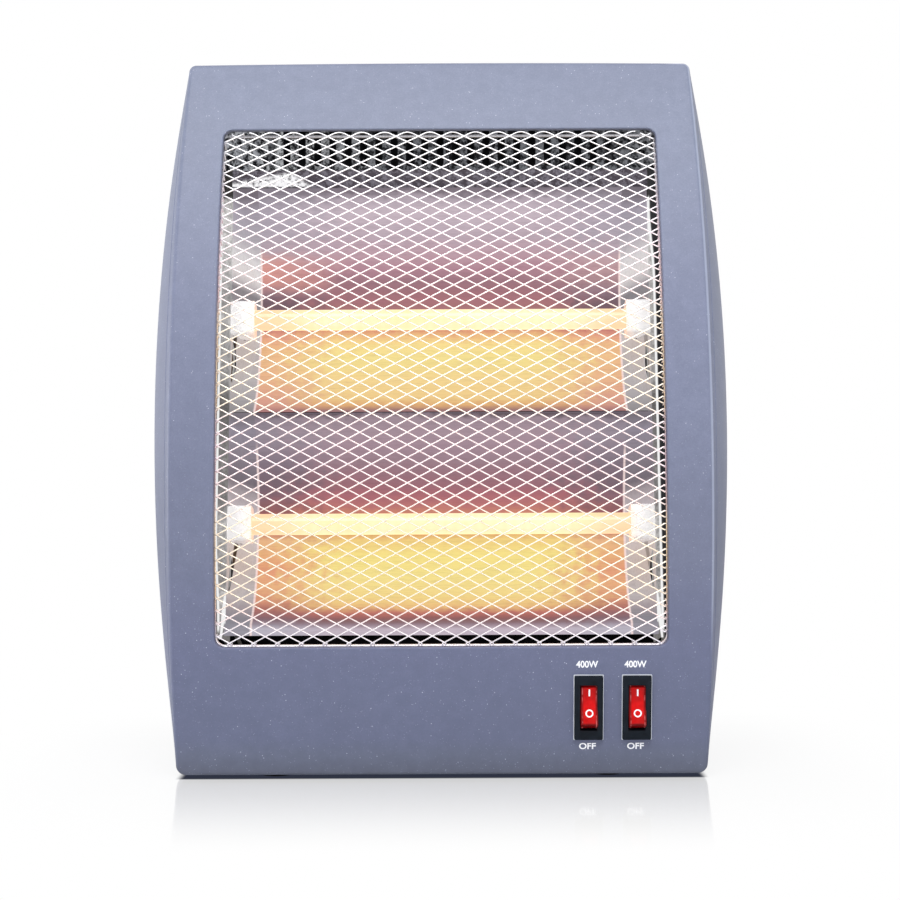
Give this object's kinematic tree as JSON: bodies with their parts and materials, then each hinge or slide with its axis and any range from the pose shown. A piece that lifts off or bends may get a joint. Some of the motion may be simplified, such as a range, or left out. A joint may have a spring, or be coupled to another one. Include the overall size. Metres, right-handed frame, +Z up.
{
  "type": "halogen heater",
  "caption": "Upright radiant room heater with a bowed front, stacked glowing quartz tubes in polished troughs, a diamond wire grille and rocker switches.",
  "frame": {"origin": "on the floor under the middle of the heater's bounding box", "axes": "+Z up, front facing -Y, +X to the right seen from the front"},
  "size_m": [0.302, 0.132, 0.3753],
  "materials": {
    "casing_plastic": "satin blue-grey moulding with a fine grain",
    "galvanised_steel": "pale bright sheet",
    "chromed_wire": "bright chromed wire",
    "polished_aluminium": "polished sheet, faintly brushed along its length",
    "glowing_quartz": "milky quartz lit from inside",
    "hot_coil": "wound resistance wire, glowing",
    "white_ceramic": "matt steatite",
    "black_plastic": "satin black",
    "red_plastic": "clear red, glossy",
    "brass": "stamped",
    "white_plastic": "moulded",
    "spring_steel": "drawn wire",
    "black_rubber": "moulded",
    "lead_sleeve": "glass-fibre sleeve",
    "screw_steel": "zinc plated"
  },
  "bodies": {
    "casing": {"front_shell": "casing_plastic", "rear_shell": "casing_plastic", "base_tray": "casing_plastic", "rear_panel": "casing_plastic", "grip_cup": "casing_plastic", "heat_shield": "galvanised_steel", "grille_mesh": "chromed_wire", "grille_border": "chromed_wire", "reflector_upper": "polished_aluminium", "reflector_lower": "polished_aluminium", "end_plate_upper_left": "galvanised_steel", "end_plate_upper_right": "galvanised_steel", "end_plate_lower_left": "galvanised_steel", "end_plate_lower_right": "galvanised_steel", "side_bracket_left": "galvanised_steel", "side_bracket_right": "galvanised_steel", "quartz_tube_upper": "glowing_quartz", "quartz_tube_lower": "glowing_quartz", "heating_coil_upper": "hot_coil", "heating_coil_lower": "hot_coil", "ceramic_cap_upper_left": "white_ceramic", "ceramic_cap_upper_right": "white_ceramic", "ceramic_cap_lower_left": "white_ceramic", "ceramic_cap_lower_right": "white_ceramic", "switch_housing_left": "black_plastic", "switch_housing_right": "black_plastic", "switch_terminals_left": "brass", "switch_terminals_right": "brass", "tip_switch_body": "black_plastic", "plunger_spring": "spring_steel", "foot_front_left": "black_rubber", "foot_front_right": "black_rubber", "foot_rear_left": "black_rubber", "foot_rear_right": "black_rubber", "cord_gland": "black_plastic", "terminal_block": "white_ceramic", "lead_upper": "lead_sleeve", "lead_lower": "lead_sleeve", "lead_return": "lead_sleeve", "lead_link": "lead_sleeve", "lead_supply": "lead_sleeve", "panel_screws": "screw_steel", "shield_screws": "screw_steel", "bracket_screws": "screw_steel", "cap_screws": "screw_steel", "base_screws": "screw_steel"},
    "rocker_left": {"rocker_left": "red_plastic"},
    "rocker_right": {"rocker_right": "red_plastic"},
    "plunger": {"tip_plunger": "white_plastic"}
  },
  "joints": [
    {"name": "rocker_left_swing", "type": "hinge", "parent": "casing", "child": "rocker_left", "pos_m": [0.0743, -0.05683, 0.03716], "axis": [1, 0, 0], "range_deg": [0, 20]},
    {"name": "rocker_right_swing", "type": "hinge", "parent": "casing", "child": "rocker_right", "pos_m": [0.0986, -0.05683, 0.03716], "axis": [1, 0, 0], "range_deg": [0, 20]},
    {"name": "plunger_slide", "type": "slide", "parent": "casing", "child": "plunger", "axis": [0, 0, -1], "range_m": [0, 0.006], "stiffness_N_per_m": 60, "springref_m": 0.012, "deforming": ["plunger_spring"]}
  ]
}
